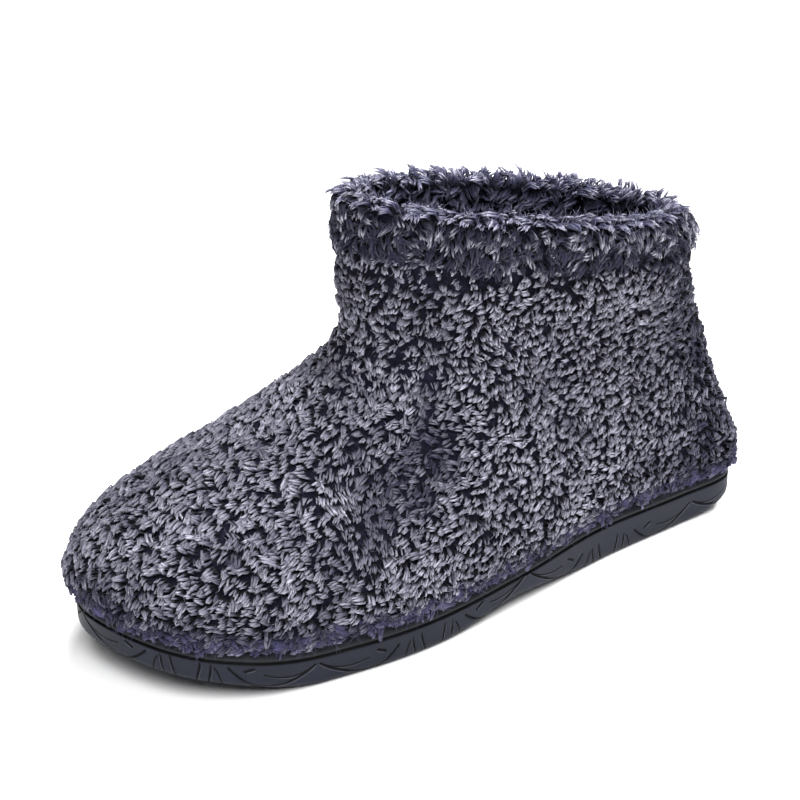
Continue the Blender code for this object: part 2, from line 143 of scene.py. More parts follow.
class Wire:
    """A shader socket that adds, multiplies and blends like a number."""

    def __init__(self, graph, socket):
        self.graph, self.socket = graph, socket

    def maths(self, kind, *others):
        return self.graph.node("ShaderNodeMath", (self, *others), operation=kind)

    def __add__(self, other):
        return self.maths("ADD", other)

    def __radd__(self, other):
        return self.maths("ADD", other)

    def __sub__(self, other):
        return self.maths("SUBTRACT", other)

    def __rsub__(self, other):
        return self.graph.node("ShaderNodeMath", (other, self), operation="SUBTRACT")

    def __mul__(self, other):
        return self.maths("MULTIPLY", other)

    def __rmul__(self, other):
        return self.maths("MULTIPLY", other)

    def __truediv__(self, other):
        return self.maths("DIVIDE", other)

    def __abs__(self):
        return self.maths("ABSOLUTE")

    def floor(self):
        return self.maths("FLOOR")

    def greatest(self, other):
        return self.maths("MAXIMUM", other)

    def root(self):
        return self.maths("SQRT")

    def between(self, low, high):
        """0 up to low, 1 from high on, smooth in between."""
        return self.graph.node(
            "ShaderNodeMapRange", {"Value": self, "From Min": low, "From Max": high},
            interpolation_type="SMOOTHSTEP")

    def blend(self, first, second):
        """first where this is 0, second where it is 1."""
        return self.graph.node(
            "ShaderNodeMix", {"Factor": self, MIX_FIRST: first, MIX_SECOND: second},
            out=MIX_COLOUR, data_type="RGBA")


class Graph:
    """A material's node tree, with one Principled shader."""

    def __init__(self, name):
        self.material = bpy.data.materials.new(name)
        self.material.use_nodes = True
        self.tree = self.material.node_tree
        self.shader = self.tree.nodes["Principled BSDF"]

    def node(self, kind, inputs=(), out=0, **settings):
        made = self.tree.nodes.new(kind)
        for key, value in settings.items():
            setattr(made, key, value)
        self.fill(made, inputs if isinstance(inputs, dict) else dict(enumerate(inputs)))
        return Wire(self, made.outputs[out])

    def fill(self, made, inputs):
        for key, value in inputs.items():
            if isinstance(value, Wire):
                self.tree.links.new(value.socket, made.inputs[key])
            else:
                is_colour = isinstance(value, tuple) and len(value) == 3 and made.inputs[key].type == "RGBA"
                made.inputs[key].default_value = (*value, 1) if is_colour else value

    def principled(self, **inputs):
        self.fill(self.shader, {key.replace("_", " "): value for key, value in inputs.items()})
        return self.material

    def across_and_up(self, name):
        """The two directions of the UV map called name."""
        place = self.node("ShaderNodeUVMap", uv_map=name)
        return [self.node("ShaderNodeSeparateXYZ", (place,), out=axis) for axis in (0, 1)]

    def speckle(self, scale, detail=2.0):
        """Noise that stays put on the resting slipper."""
        place = self.node("ShaderNodeTexCoord", out=OBJECT_COORDINATES)
        return self.node("ShaderNodeTexNoise", {"Vector": place, "Scale": scale, "Detail": detail})

    def bump(self, height, depth, strength=1.0):
        return self.node("ShaderNodeBump", {"Height": height, "Distance": depth, "Strength": strength})


def pile_material(name, root, middle, tip, frost_start=0.42, frost_end=0.80):
    """Fleece locks. Across the map: the band says how frosted the lock is, and the place in the band lies
    round the finger. Up the map: from the finger's root to its tip."""
    g = Graph(name)
    across, along = g.across_and_up("OFBake")
    across = across * float(LEVELS)
    level = across.floor()
    frost = (level + 0.5) / float(LEVELS)
    streaks = g.node("ShaderNodeTexNoise", {
        "Vector": g.node("ShaderNodeCombineXYZ", ((across - level) * 11.0, level * 7.3, along * 3.0)),
        "Scale": 1.0, "Detail": 3.0, "Roughness": 0.6})
    fibre = streaks.between(0.30, 0.70)
    # Darker towards each finger's root: painted shade down among the locks
    body = along.between(0.10, 0.70).blend(root, middle)
    ragged_edge = streaks * 0.50 - 0.25
    frosted = (along + ragged_edge).between(frost_start, frost_end) * frost
    tips = fibre.blend(tuple(c * 0.48 for c in tip), tip)
    return g.principled(Base_Color=frosted.blend(body, tips), Roughness=1.0, Specular_IOR_Level=0.12,
                        Sheen_Weight=0.06, Sheen_Roughness=0.6, Normal=g.bump(fibre, 0.0002, 0.8))


def backing_material(name, dark, light):
    """The matted ground that shows between the locks."""
    g = Graph(name)
    clumps = g.speckle(420.0, 4.0)
    colour = clumps.between(0.35, 0.70).blend(dark, light)
    return g.principled(Base_Color=colour, Roughness=0.95, Specular_IOR_Level=0.15,
                        Normal=g.bump(clumps, 0.0012))


def hem_material():
    """Fluff without frost: cloudy purple navy with fine pale hairs."""
    g = Graph("hem_fluff")
    clouds = g.speckle(330.0, 5.0)
    hairs = g.speckle(1900.0, 3.0)
    colour = clouds.between(0.32, 0.68).blend((0.022, 0.021, 0.048), (0.070, 0.067, 0.140))
    colour = (hairs.between(0.58, 0.75) * 0.5).blend(colour, (0.20, 0.20, 0.28))
    return g.principled(Base_Color=colour, Roughness=1.0, Specular_IOR_Level=0.10,
                        Normal=g.bump(clouds + hairs * 0.5, 0.0012))


def held(share):
    """share kept between 0 and 1, for a Wire or an array."""
    if isinstance(share, Wire):
        return share.maths("MAXIMUM", 0.0).maths("MINIMUM", 1.0)
    return np.clip(share, 0, 1)


def line_gap_on_wall(across, up, line):
    """Distance in metres from a line of the wall's pattern. across and up are shares of the tile."""
    start, end, first, last, bow = line[:5]
    t = held((across - start) * (1 / (end - start)))
    bent = t * (1 - t) * (4 * bow)
    rise = (up - first - t * (last - first) - bent) * PATTERN_HEIGHT
    slope = ((1 - 2 * t) * (4 * bow) + (last - first)) * (PATTERN_HEIGHT / (end - start) / TILE_LENGTH)
    beyond = (across - start - t * (end - start)) * TILE_LENGTH
    square = rise * rise / (slope * slope + 1) + beyond * beyond
    return square.root() if isinstance(square, Wire) else np.sqrt(square)


def rubber_material():
    """Satin moulded rubber. Fine lines are engraved in the wall, each beside a ridge, and the lip above the
    groove is a little greyer than the wall. The engraved lines and the parting groove are painted near black,
    painted shade of their hollows, and each ridge is painted lighter, a painted highlight."""
    g = Graph("moulded_rubber")
    tiles, up = g.across_and_up("wall")
    number = tiles.floor()
    odd = number - (number / 2.0).floor() * 2.0
    across = abs(tiles - number - odd)
    sunk, raised_and_highlit = None, None
    for line in WALL_LINES:
        gap = line_gap_on_wall(across, up, line)
        half = line[5] * MM / 2
        cut = 1.0 - gap.between(half * 0.55, half * 1.15)
        aside = half + 0.10 * MM
        # A ridge beside each line: a little relief, and a painted highlight
        beside = line_gap_on_wall(across + aside / TILE_LENGTH, up + aside / PATTERN_HEIGHT, line)
        ridge = 1.0 - beside.between(0.10 * MM, 0.36 * MM)
        sunk = cut if sunk is None else sunk.greatest(cut)
        raised_and_highlit = ridge if raised_and_highlit is None else raised_and_highlit.greatest(ridge)
    on_wall = up.between(0.0, 0.02)
    sunk, raised_and_highlit = sunk * on_wall, raised_and_highlit * (1.0 - sunk) * on_wall
    lip = g.node("ShaderNodeAttribute", out=ATTRIBUTE_VALUE, attribute_name="lip")
    # The parting groove's middle, painted dark as its shade
    groove = 1.0 - abs(lip - 0.5).between(0.10, 0.40)
    broad = g.speckle(28.0, 3.0)
    grain = g.speckle(2600.0, 2.0)
    colour = broad.between(0.3, 0.7).blend((0.0056, 0.0073, 0.0152), (0.0087, 0.0108, 0.0210))
    colour = lip.blend(colour, (0.0165, 0.0178, 0.0222))
    # Painted highlight on each ridge
    colour = raised_and_highlit.blend(colour, (0.042, 0.045, 0.062))
    # Painted shade in the engraved lines and the parting groove
    colour = sunk.greatest(groove).blend(colour, (0.0010, 0.0011, 0.0022))
    relief = g.bump(raised_and_highlit * 0.45 - sunk, 0.0010)
    fine = g.node("ShaderNodeBump", {"Height": grain, "Distance": 0.00006, "Normal": relief})
    return g.principled(Base_Color=colour, Roughness=broad * 0.14 + 0.46 + grain * 0.10 + sunk * 0.30,
                        Specular_IOR_Level=0.20, Normal=fine)


def floor_material():
    g = Graph("floor")
    return g.principled(Base_Color=(0.93, 0.93, 0.935), Roughness=0.7, Specular_IOR_Level=0.2)


# The sole

def smooth_rows(table, shares):
    """The table's value columns at each share, on monotone cubics through its rows."""
    x, values = table[:, 0], table[:, 1:]
    slopes = np.diff(values, axis=0) / np.diff(x)[:, None]
    tangents = np.zeros_like(values)
    tangents[0], tangents[-1] = slopes[0], slopes[-1]
    same_way = slopes[:-1] * slopes[1:] > 0
    both = np.where(same_way, slopes[:-1] + slopes[1:], 1.0)
    tangents[1:-1] = np.where(same_way, 2 * slopes[:-1] * slopes[1:] / both, 0.0)
    shares = np.clip(shares, x[0], x[-1])
    i = np.clip(np.searchsorted(x, shares, side="right") - 1, 0, len(x) - 2)
    width = (x[i + 1] - x[i])[:, None]
    t = (shares - x[i])[:, None] / width
    return (
        (2 * t**3 - 3 * t**2 + 1) * values[i] + (t**3 - 2 * t**2 + t) * width * tangents[i]
        + (3 * t**2 - 2 * t**3) * values[i + 1] + (t**3 - t**2) * width * tangents[i + 1]
    )


def closed_curve(points, count):
    """count points at even steps along a closed smooth curve through points."""
    points = np.array(points, float)
    steps = np.linspace(0, 1, 60, endpoint=False)[:, None]
    fine = []
    for i in range(len(points)):
        a, b, c, d = (points[(i + k) % len(points)] for k in (-1, 0, 1, 2))
        fine.append(0.5 * (2 * b + (c - a) * steps + (2 * a - 5 * b + 4 * c - d) * steps**2
                           + (3 * b - a - 3 * c + d) * steps**3))
    fine = np.vstack([*fine, points[:1]])
    run = np.concatenate([[0], np.cumsum(np.linalg.norm(np.diff(fine, axis=0), axis=1))])
    where = np.arange(count) / count * run[-1]
    return np.stack([np.interp(where, run, fine[:, k]) for k in (0, 1)], axis=1)


def sole_outline(count):
    """count points round the sole, and the direction out of it at each."""
    half = BALL_WIDTH / 2
    lateral = [(s * SOLE_LENGTH, y * half) for s, y, _ in OUTLINE]
    medial = [(s * SOLE_LENGTH, y * half) for s, _, y in OUTLINE]
    toe, heel = (SOLE_LENGTH, TOE_POINT * half), (0.0, HEEL_POINT * half)
    outline = closed_curve([toe, *lateral[::-1], heel, *medial], count)
    ahead = np.roll(outline, -1, axis=0) - np.roll(outline, 1, axis=0)
    normal = np.stack([-ahead[:, 1], ahead[:, 0]], axis=1)
    normal /= np.linalg.norm(normal, axis=1)[:, None]
    if ((outline - outline.mean(axis=0)) * normal).sum() < 0:
        normal = -normal
    return outline, normal


def sole_heights(x):
    """Underside, parting groove and rim heights at each X from the heel."""
    return (smooth_rows(SOLE_HEIGHTS, np.asarray(x) / SOLE_LENGTH) * SOLE_DEPTH).T


def arc_relief(tiles, up):
    """How far the wall's main arcs sink each wall point in, in metres."""
    number = np.floor(tiles)
    across = np.abs(tiles - number - number % 2)
    relief = np.zeros_like(up)
    for line in WALL_LINES:
        gap, half = line_gap_on_wall(across, up, line), line[5] * MM / 2
        relief = np.maximum(relief, line[6] * MM * np.clip((half * 1.3 - gap) / half, 0, 1))
    return relief


def wall_height(under, groove, share):
    """Height above the underside of points at a share of the way up the wall."""
    return EDGE_RADIUS + (groove - GROOVE_GAP / 2 - GROOVE_EDGE - under - EDGE_RADIUS) * share


def sole_rings():
    """Rings of points from the tread's edge up the wall and over the lip to the recess's floor. For each
    ring also its lip mask, and how far up the pattern its points lie."""
    outline, normal = sole_outline(SOLE_STEPS)
    rings, lips, ups = [], [], []

    def ring(out, height_of, lip=0.0, on_wall=False):
        flat = outline + normal * np.reshape(out, (-1, 1))
        under, groove, rim = sole_heights(flat[:, 0])
        heights = height_of(under, groove, rim)
        rings.append(np.column_stack([flat, heights]))
        lips.append(np.full(SOLE_STEPS, lip))
        ups.append((heights - under) / PATTERN_HEIGHT if on_wall else np.full(SOLE_STEPS, -1.0))

    for turn in np.linspace(0, math.pi / 2, 6):
        ring(-EDGE_RADIUS * (1 - math.sin(turn)),
             lambda under, groove, rim: under + EDGE_RADIUS * (1 - math.cos(turn)), on_wall=True)
    tiles = np.arange(SOLE_STEPS) / SOLE_STEPS * ARC_TILES
    under_edge, groove_edge, _ = sole_heights(outline[:, 0])
    for share in np.linspace(0, 1, 18)[1:]:
        up = wall_height(under_edge, groove_edge, share) / PATTERN_HEIGHT
        ring(-arc_relief(tiles, up),
             lambda under, groove, rim: under + wall_height(under, groove, share), on_wall=True)
    for out, up in GROOVE_PROFILE:
        ring(out, lambda under, groove, rim: groove + GROOVE_GAP * up, 0.5)
    start = GROOVE_GAP * LIP_START
    for share in np.linspace(0.12, 1, 6):
        ring(-LIP_LEAN * share ** 1.3,
             lambda under, groove, rim: groove + start + (rim - LIP_ROUND - groove - start) * share, 1.0)
    for turn in np.linspace(0.3, math.pi / 2, 4):
        ring(-LIP_LEAN - LIP_ROUND * (1 - math.cos(turn)),
             lambda under, groove, rim: rim - LIP_ROUND * (1 - math.sin(turn)), 1.0)
    ring(-LIP_LEAN - LIP_WALL, lambda under, groove, rim: rim, 1.0)
    ring(-LIP_LEAN - LIP_WALL, lambda under, groove, rim: rim - RECESS_DEPTH)
    return rings, np.concatenate(lips), np.array(ups)


def tread_points(edge):
    """Rungs from side to side inside the tread's edge, with the wave-shaped grooves sunk in."""
    half = SOLE_STEPS // 2
    shares = np.linspace(0, 1, RUNG_STEPS + 1)[None, 1:-1, None]
    points = edge[1:half][:, None, :] * (1 - shares) + edge[:half:-1][:, None, :] * shares
    x, y = points[..., 0], points[..., 1]
    phase = (x - WAVE_SWING * np.sin(4 * math.pi * y / BALL_WIDTH)) / WAVE_PITCH - 0.75
    number = np.round(phase)
    from_middle = np.abs(phase - number) * WAVE_PITCH
    sides = smooth_rows(np.array(OUTLINE), x.ravel() / SOLE_LENGTH) * BALL_WIDTH / 2
    lateral, medial = sides[:, 0].reshape(x.shape), sides[:, 1].reshape(x.shape)
    inside = np.minimum(lateral - y, y - medial) - TREAD_BORDER
    inside = np.minimum(inside, WAVE_HALF - from_middle)
    inside[(number < 0) | (number > int(SOLE_LENGTH / WAVE_PITCH) - 2)] = -1
    cut = np.clip(inside / WAVE_SLOPE + 0.5, 0, 1)
    points[..., 2] = sole_heights(x.ravel())[0].reshape(x.shape) + WAVE_DEPTH * cut
    return points


def quads(rings):
    """The four corners of each cell between neighbouring closed rings, for any value that they carry."""
    ahead = np.roll(rings, -1, axis=1)
    return np.stack([rings[:-1], ahead[:-1], ahead[1:], rings[1:]], axis=-1)


def build_sole():
    """The moulded cup sole, with its wall pattern and wave lugs as real relief."""
    rings, lips, ups = sole_rings()
    count, half = len(rings), SOLE_STEPS // 2
    faces = quads(np.arange(count * SOLE_STEPS).reshape(count, SOLE_STEPS)).reshape(-1, 4).tolist()
    step = np.arange(SOLE_STEPS)
    map_u = np.stack([step, step + 1, step + 1, step], axis=-1) * ARC_TILES / SOLE_STEPS
    map_v = quads(ups)
    wall_map = np.stack([np.broadcast_to(map_u, map_v.shape), map_v], axis=-1).reshape(-1, 2)

    tread = tread_points(rings[0])
    grid = np.arange(tread.shape[0] * tread.shape[1]).reshape(tread.shape[:2]) + count * SOLE_STEPS
    grid = np.column_stack([np.arange(1, half), grid, np.arange(SOLE_STEPS - 1, half, -1)])
    cells = np.stack([grid[:-1, :-1], grid[1:, :-1], grid[1:, 1:], grid[:-1, 1:]], axis=-1)
    faces += cells.reshape(-1, 4).tolist()
    for k in range(RUNG_STEPS):
        faces.append((0, int(grid[0, k]), int(grid[0, k + 1])))
        faces.append((half, int(grid[-1, k + 1]), int(grid[-1, k])))

    # The recess's floor
    top, end = (count - 1) * SOLE_STEPS, count * SOLE_STEPS
    faces += [(top, top + 1, end - 1), (top + half - 1, top + half, top + half + 1)]
    faces += [(top + i, top + i + 1, end - i - 1, end - i) for i in range(1, half - 1)]

    points = np.vstack([*rings, tread.reshape(-1, 3)]) + (*SHIFT, 0)
    lips = np.concatenate([lips, np.zeros(len(points) - len(lips))])
    sole = piece("outsole_moulded", points, faces, rubber_material())
    sole.data.attributes.new("lip", "FLOAT", "POINT").data.foreach_set("value", lips.astype(np.float32))
    uv = np.full((len(sole.data.loops), 2), -1.0)
    uv[:len(wall_map)] = wall_map
    sole.data.uv_layers.new(name="wall").data.foreach_set("uv", uv.astype(np.float32).ravel())
    shape = bmesh.new()
    shape.from_mesh(sole.data)
    bmesh.ops.recalc_face_normals(shape, faces=shape.faces)
    shape.to_mesh(sole.data)
    shape.free()
    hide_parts("outsole")


def shown(name, mesh):
    """The mesh as an object of the scene that rides with the slipper."""
    made = bpy.data.objects.new(name, mesh)
    bpy.context.scene.collection.objects.link(made)
    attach(made, "root")
    return made


def piece(name, points, faces, material):
    """A smooth piece at the frame's origin."""
    mesh = bpy.data.meshes.new(name)
    mesh.from_pydata(np.asarray(points).tolist(), [], faces)
    mesh.polygons.foreach_set("use_smooth", [True] * len(mesh.polygons))
    mesh.materials.append(material)
    return shown(name, mesh)


def stand_in(name, shape, *materials):
    """A smooth piece with the bmesh's shape, in place of a CAD node."""
    mesh = bpy.data.meshes.new(name)
    shape.to_mesh(mesh)
    mesh.polygons.foreach_set("use_smooth", [True] * len(mesh.polygons))
    mesh.materials.clear()
    for material in materials:
        mesh.materials.append(material)
    return shown(name, mesh)


# The pile

def merged_copy(node):
    """A bmesh of a CAD node with its loose triangles joined."""
    shape = bmesh.new()
    shape.from_mesh(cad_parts[node].data)
    bmesh.ops.remove_doubles(shape, verts=shape.verts, dist=MERGED)
    return shape


def pile_floor():
    """The upper without its locks: a bmesh, and the set of its vertices that lay at the foot of a lock."""
    shape = merged_copy("upper")
    shape.normal_update()
    tips = []
    for vertex in shape.verts:
        if len(vertex.link_faces) == 4:
            around = [edge.other_vert(vertex).co for edge in vertex.link_edges]
            height = (vertex.co - sum(around, Vector()) / 4).dot(vertex.normal)
            if height > 0.4 * MM:
                tips.append(vertex)
    feet = {edge.other_vert(tip) for tip in tips for edge in tip.link_edges}
    bmesh.ops.dissolve_verts(shape, verts=tips)
    shape.normal_update()
    return shape, feet


def triangles_of(faces):
    """Corner positions and corner normals of the faces, as arrays of triangles."""
    corners, normals = [], []
    mean = {}
    for face in faces:
        for vertex in face.verts:
            mean[vertex] = mean.get(vertex, Vector()) + face.normal * face.calc_area()
    for face in faces:
        ring = list(face.verts)
        for k in range(1, len(ring) - 1):
            three = (ring[0], ring[k], ring[k + 1])
            corners.append([tuple(v.co) for v in three])
            normals.append([tuple(mean[v].normalized()) for v in three])
    return np.array(corners), np.array(normals)


def scattered(triangles, closest, seed, widen=None):
    """Points over the triangles with their normals, no two nearer than closest plus what widen adds."""
    corners, normals = triangles
    chance = np.random.default_rng(seed)
    area = np.linalg.norm(np.cross(corners[:, 1] - corners[:, 0], corners[:, 2] - corners[:, 0]), axis=1) / 2
    count = int(area.sum() / closest**2 * 5)
    pick = chance.choice(len(area), count, p=area / area.sum())
    u, v = chance.random((2, count))
    flip = u + v > 1
    u[flip], v[flip] = 1 - u[flip], 1 - v[flip]
    weights = np.stack([1 - u - v, u, v], axis=1)[..., None]
    points = (corners[pick] * weights).sum(axis=1)
    outward = unit((normals[pick] * weights).sum(axis=1))
    spacing = closest + (widen(points) if widen else np.zeros(count))
    tree = KDTree(count)
    for i, point in enumerate(points):
        tree.insert(point, i)
    tree.balance()
    free = np.ones(count, bool)
    kept = []
    for i in range(count):
        if free[i]:
            kept.append(i)
            for _, j, _ in tree.find_range(points[i], spacing[i]):
                free[j] = False
    return points[kept], outward[kept]


def unit(vectors):
    return vectors / np.maximum(np.linalg.norm(vectors, axis=1)[:, None], 1e-9)


def laid(directions, outward):
    """Each direction laid in the surface whose normal is outward."""
    return unit(directions - (directions * outward).sum(axis=1)[:, None] * outward)


def turned(naps, outward, angles):
    """Each nap direction turned about its own normal."""
    side = np.cross(outward, naps)
    return naps * np.cos(angles)[:, None] + side * np.sin(angles)[:, None]


def fallen(outward, drift):
    """The direction in the surface in which the pile falls: down, and forward by drift."""
    down = np.zeros_like(outward)
    down[:, 2] = -1
    down[:, 0] = drift
    return laid(down, outward)


def from_shaft(points):
    """The level direction to each point from the shaft's axis."""
    return unit((points - (SHAFT.x, SHAFT.y, 0)) * (1, 1, 0))


def swirl(points, scale, seed):
    """Slow noise from about -1 to 1 at each point."""
    shift = Vector((seed * 3.1, seed * 1.7, seed * 0.9))
    return np.array([noise.noise(Vector(p) * scale + shift) for p in points]) * 1.6


def bell(distance, width):
    """1 at no distance, falling smoothly to nothing past the width."""
    return np.exp(-(distance / width) ** 2)


def ring_frames(centre, side):
    """Two directions across a line of points, for each point along it."""
    run = np.gradient(centre, axis=-2)
    run /= np.linalg.norm(run, axis=-1)[..., None]
    first = np.cross(run, np.broadcast_to(side, run.shape))
    first /= np.maximum(np.linalg.norm(first, axis=-1)[..., None], 1e-9)
    return first, np.cross(run, first)


def finger_pattern():
    """Faces of a finger, two bands and a pointed end, and each corner's place round it and along it."""
    stops = [share for share, _ in FINGER_SHARES]
    faces, places = [], []
    for ring in range(2):
        low, high = stops[ring], stops[ring + 1]
        for k in range(SIDES):
            a, b = ring * SIDES + k, ring * SIDES + (k + 1) % SIDES
            here, ahead = k / SIDES, (k + 1) / SIDES
            faces += [(a, b, b + SIDES), (a, b + SIDES, a + SIDES)]
            places += [((here, low), (ahead, low), (ahead, high)), ((here, low), (ahead, high), (here, high))]
    top = 2 * SIDES
    for k in range(SIDES):
        faces.append((top + k, top + (k + 1) % SIDES, top + SIDES))
        places.append(((k / SIDES, stops[2]), ((k + 1) / SIDES, stops[2]), ((k + 0.5) / SIDES, 1.0)))
    return faces, places


def hair_pattern():
    """Faces of a loose hair, three sides and a pointed end, all in the mid shades of the map."""
    faces, places = [], []
    for k in range(3):
        ahead = (k + 1) % 3
        faces += [(k, ahead, ahead + 3), (k, ahead + 3, k + 3), (k + 3, ahead + 3, 6)]
        places += [((0.5, 0.55),) * 3, ((0.5, 0.60),) * 3, ((0.5, 0.66),) * 3]
    return faces, places


def tube_faces(faces, count, stride, base):
    """The faces of count tubes alike, stride vertices each, from vertex base on."""
    return (np.array(faces)[None] + np.arange(count)[:, None, None] * stride + base).reshape(-1, 3)


def tube_map(places, level):
    """Map positions of the tubes' face corners: the band of each tube's frost, then root to tip."""
    places = np.array(places, float)
    across = (level[:, None, None] + 0.04 + 0.92 * places[None, ..., 0]) / LEVELS
    up = np.broadcast_to(0.01 + 0.98 * places[None, ..., 1], across.shape)
    return np.stack([across, up], axis=-1).reshape(-1)


def locks(name, points, outward, naps, length, width, lift, frost, material, fingers=5, wisps=1, wisp=0.0011,
          seed=0, curl=0.35, droop=0.50, gather=0.58, crinkle=0.09):
    """One mesh of soft bent locks of fleece. Each is a few fingers side by side, with some loose hairs.

    droop bends the tips down, gather draws the fingers together, curl and crinkle turn them sideways."""
    chance = np.random.default_rng(SEED * 100 + seed)
    count = len(points)
    total = count * fingers

    def each(values):
        return np.repeat(values, fingers, axis=0)

    o, n = each(outward), each(naps)
    s = np.cross(o, n)
    place = np.tile(np.arange(fingers) - (fingers - 1) / 2, count) / fingers
    across = each(width) * place * 1.15
    long = each(length) * chance.uniform(0.74, 1.12, total)
    high = each(lift) * chance.uniform(0.85, 1.10, total) * (1 - 0.5 * np.abs(place))
    sway = each(chance.normal(0, curl, count)) * long + chance.normal(0, 0.10, total) * long
    roots = each(points) + n * (chance.normal(0, 0.12, total) * each(width))[:, None]
    phase = chance.uniform(0, 2 * math.pi, (total, 1))

    def line(t):
        """Each finger's middle line at the shares t: finger, share, xyz."""
        rise = high[:, None] * ((1 - (1 - t) ** 2) - droop * t**3)
        go = long[:, None] * (0.22 * t + 0.78 * t**1.6)
        waves = (np.sin(phase + 5.2 * t) - np.sin(phase)) * crinkle * long[:, None]
        over = across[:, None] * (1 - gather * t) + sway[:, None] * t**2 + waves
        sunk = roots[:, None] - o[:, None] * 0.0006
        return (sunk + o[:, None] * rise[..., None]
                + n[:, None] * go[..., None] + s[:, None] * over[..., None])

    centre = line(np.array([[share for share, _ in FINGER_SHARES] + [1.0]]))
    first, second = ring_frames(centre, s[:, None])
    wide = each(width)[:, None] * (0.60 / fingers + 0.055) * np.array([share for _, share in FINGER_SHARES])
    twist = chance.uniform(0, 1.57, total)[:, None, None]
    rings = []
    for turn in np.arange(SIDES) * 2 * math.pi / SIDES:
        lump = chance.uniform(0.84, 1.16, wide.shape)
        way = first[:, :3] * np.cos(turn + twist) + second[:, :3] * np.sin(turn + twist)
        rings.append(centre[:, :3] + way * (wide * lump)[..., None])
    body = np.concatenate([np.stack(rings, axis=2).reshape(total, -1, 3), centre[:, 3:]], axis=1)
    level = np.clip((each(frost) * LEVELS + chance.uniform(-1, 1, total)).astype(int), 0, LEVELS - 1)
    faces, places = finger_pattern()
    vertices = [body.reshape(-1, 3)]
    index = [tube_faces(faces, total, body.shape[1], 0)]
    uv = [tube_map(places, level)]

    # Loose hairs start on each lock's first finger and leave it sideways
    faces, places = hair_pattern()
    chosen = np.arange(count) * fingers
    for _ in range(wisps):
        begin = chance.uniform(0.30, 0.90, (total, 1))
        foot = line(begin)[chosen, 0]
        away = unit(outward * 0.6 + naps * 0.5 + chance.normal(0, 0.75, (count, 3)))
        bend = unit(chance.normal(0, 1, (count, 3)))
        reach = wisp * chance.uniform(0.5, 1.3, (count, 1)) + width[:, None] * 0.4
        path = np.stack([foot, foot + away * reach * 0.6, foot + (away + bend * 0.5) * reach], axis=1)
        one, two = ring_frames(path, s[chosen][:, None])
        fine = HAIR_RADIUS * chance.uniform(0.8, 1.4, (count, 1, 1))
        corners = [path[:, :2] + (one[:, :2] * math.cos(a) + two[:, :2] * math.sin(a)) * fine
                   for a in (0, 2.0944, 4.1888)]
        hair = np.concatenate([np.stack(corners, axis=2).reshape(count, 6, 3), path[:, 2:]], axis=1)
        index.append(tube_faces(faces, count, 7, sum(len(v) for v in vertices)))
        vertices.append(hair.reshape(-1, 3))
        uv.append(tube_map(places, level[chosen]))

    made = shown(name, dense_mesh(name, np.vstack(vertices), np.vstack(index), np.concatenate(uv), material))


def dense_mesh(name, vertices, index, uv, material):
    """A smooth mesh of triangles with one map."""
    mesh = bpy.data.meshes.new(name)
    mesh.vertices.add(len(vertices))
    mesh.vertices.foreach_set("co", vertices.astype(np.float32).ravel())
    mesh.loops.add(index.size)
    mesh.loops.foreach_set("vertex_index", index.astype(np.int32).ravel())
    mesh.polygons.add(len(index))
    mesh.polygons.foreach_set("loop_start", np.arange(0, index.size, 3, dtype=np.int32))
    mesh.polygons.foreach_set("use_smooth", np.ones(len(index), bool))
    mesh.update(calc_edges=True)
    mesh.uv_layers.new(name="OFBake").data.foreach_set("uv", uv.astype(np.float32))
    mesh.validate()
    mesh.materials.append(material)
    return mesh


def line_gap(points, line):
    """Distance of each point from a line of (share of the sole's length, height), seen from the side."""
    here = points[:, (0, 2)]
    line = line * (SOLE_LENGTH, 1.0) + (SHIFT[0], 0)
    best = np.full(len(points), 1.0)
    for a, b in zip(line, line[1:]):
        share = np.clip((here - a) @ (b - a) / ((b - a) @ (b - a)), 0, 1)
        best = np.minimum(best, np.linalg.norm(here - a - share[:, None] * (b - a), axis=1))
    return best


def collar_height(x):
    """Height of the collar's edge over each X."""
    share = np.clip((x - SHIFT[0] - COLLAR_BACK * SOLE_LENGTH) / (COLLAR_RUN * SOLE_LENGTH), 0, 1)
    return COLLAR_LOW + COLLAR_RISE * share


def below_collar(points):
    """How far each point lies below the collar's edge."""
    return collar_height(points[:, 0]) - points[:, 2]


def toe_share(points):
    """0 over the shaft, rising to 1 at the toe."""
    return np.clip((points[:, 0] + 0.02) / 0.11, 0, 1)


def trough_depth(points):
    """How deep the soft troughs of the seam, the crease and the hem's lower edge lie, in metres."""
    valley = bell(points[:, 2] - 0.071, 0.017)
    seam = bell(line_gap(points, SEAM), 0.0075) * (0.0010 + 0.0022 * valley)
    crease = bell(line_gap(points, CREASE), 0.0065) * (points[:, 1] > 0) * 0.0020
    under_hem = bell(below_collar(points) - 0.0165, 0.0045) * 0.0012
    puffs = swirl(points, 55.0, 10) * 0.0005
    return seam + crease + under_hem + puffs


def build_upper():
    """The backing with its soft troughs, the pile that grows on it, and the insole in the same fleece."""
    shape, feet = pile_floor()
    outer, inner = [], []
    for face in shape.faces:
        on_outside = all(vertex in feet for vertex in face.verts)
        side = outer if on_outside else inner
        side.append(face)
    feet = list(feet)
    for vertex, depth in zip(feet, trough_depth(np.array([v.co for v in feet]))):
        vertex.co -= vertex.normal * depth
    shape.normal_update()
    triangles = triangles_of(outer)

    # The backing is lighter inside the shaft and on the collar
    for face in inner:
        face.material_index = 1
    for face in outer:
        centre = face.calc_center_median()
        face.material_index = int(collar_height(centre.x) - centre.z < PALE_BACKING_FOOT)
    backing = stand_in(
        "fleece_backing", shape,
        backing_material("fleece_backing", (0.0015, 0.0015, 0.005), (0.007, 0.007, 0.018)),
        backing_material("lining_backing", (0.009, 0.009, 0.022), (0.024, 0.025, 0.054)))
    smooth = backing.modifiers.new("smooth", "SUBSURF")
    smooth.levels = smooth.render_levels = 1
    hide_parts("upper")

    dark = pile_material("lining_pile", (0.014, 0.014, 0.031), (0.046, 0.047, 0.094), (0.26, 0.26, 0.38),
                         0.40)
    build_body_pile(triangles)
    build_collar(triangles, inner, dark)
    build_insole(dark)
    build_hem()
    shape.free()


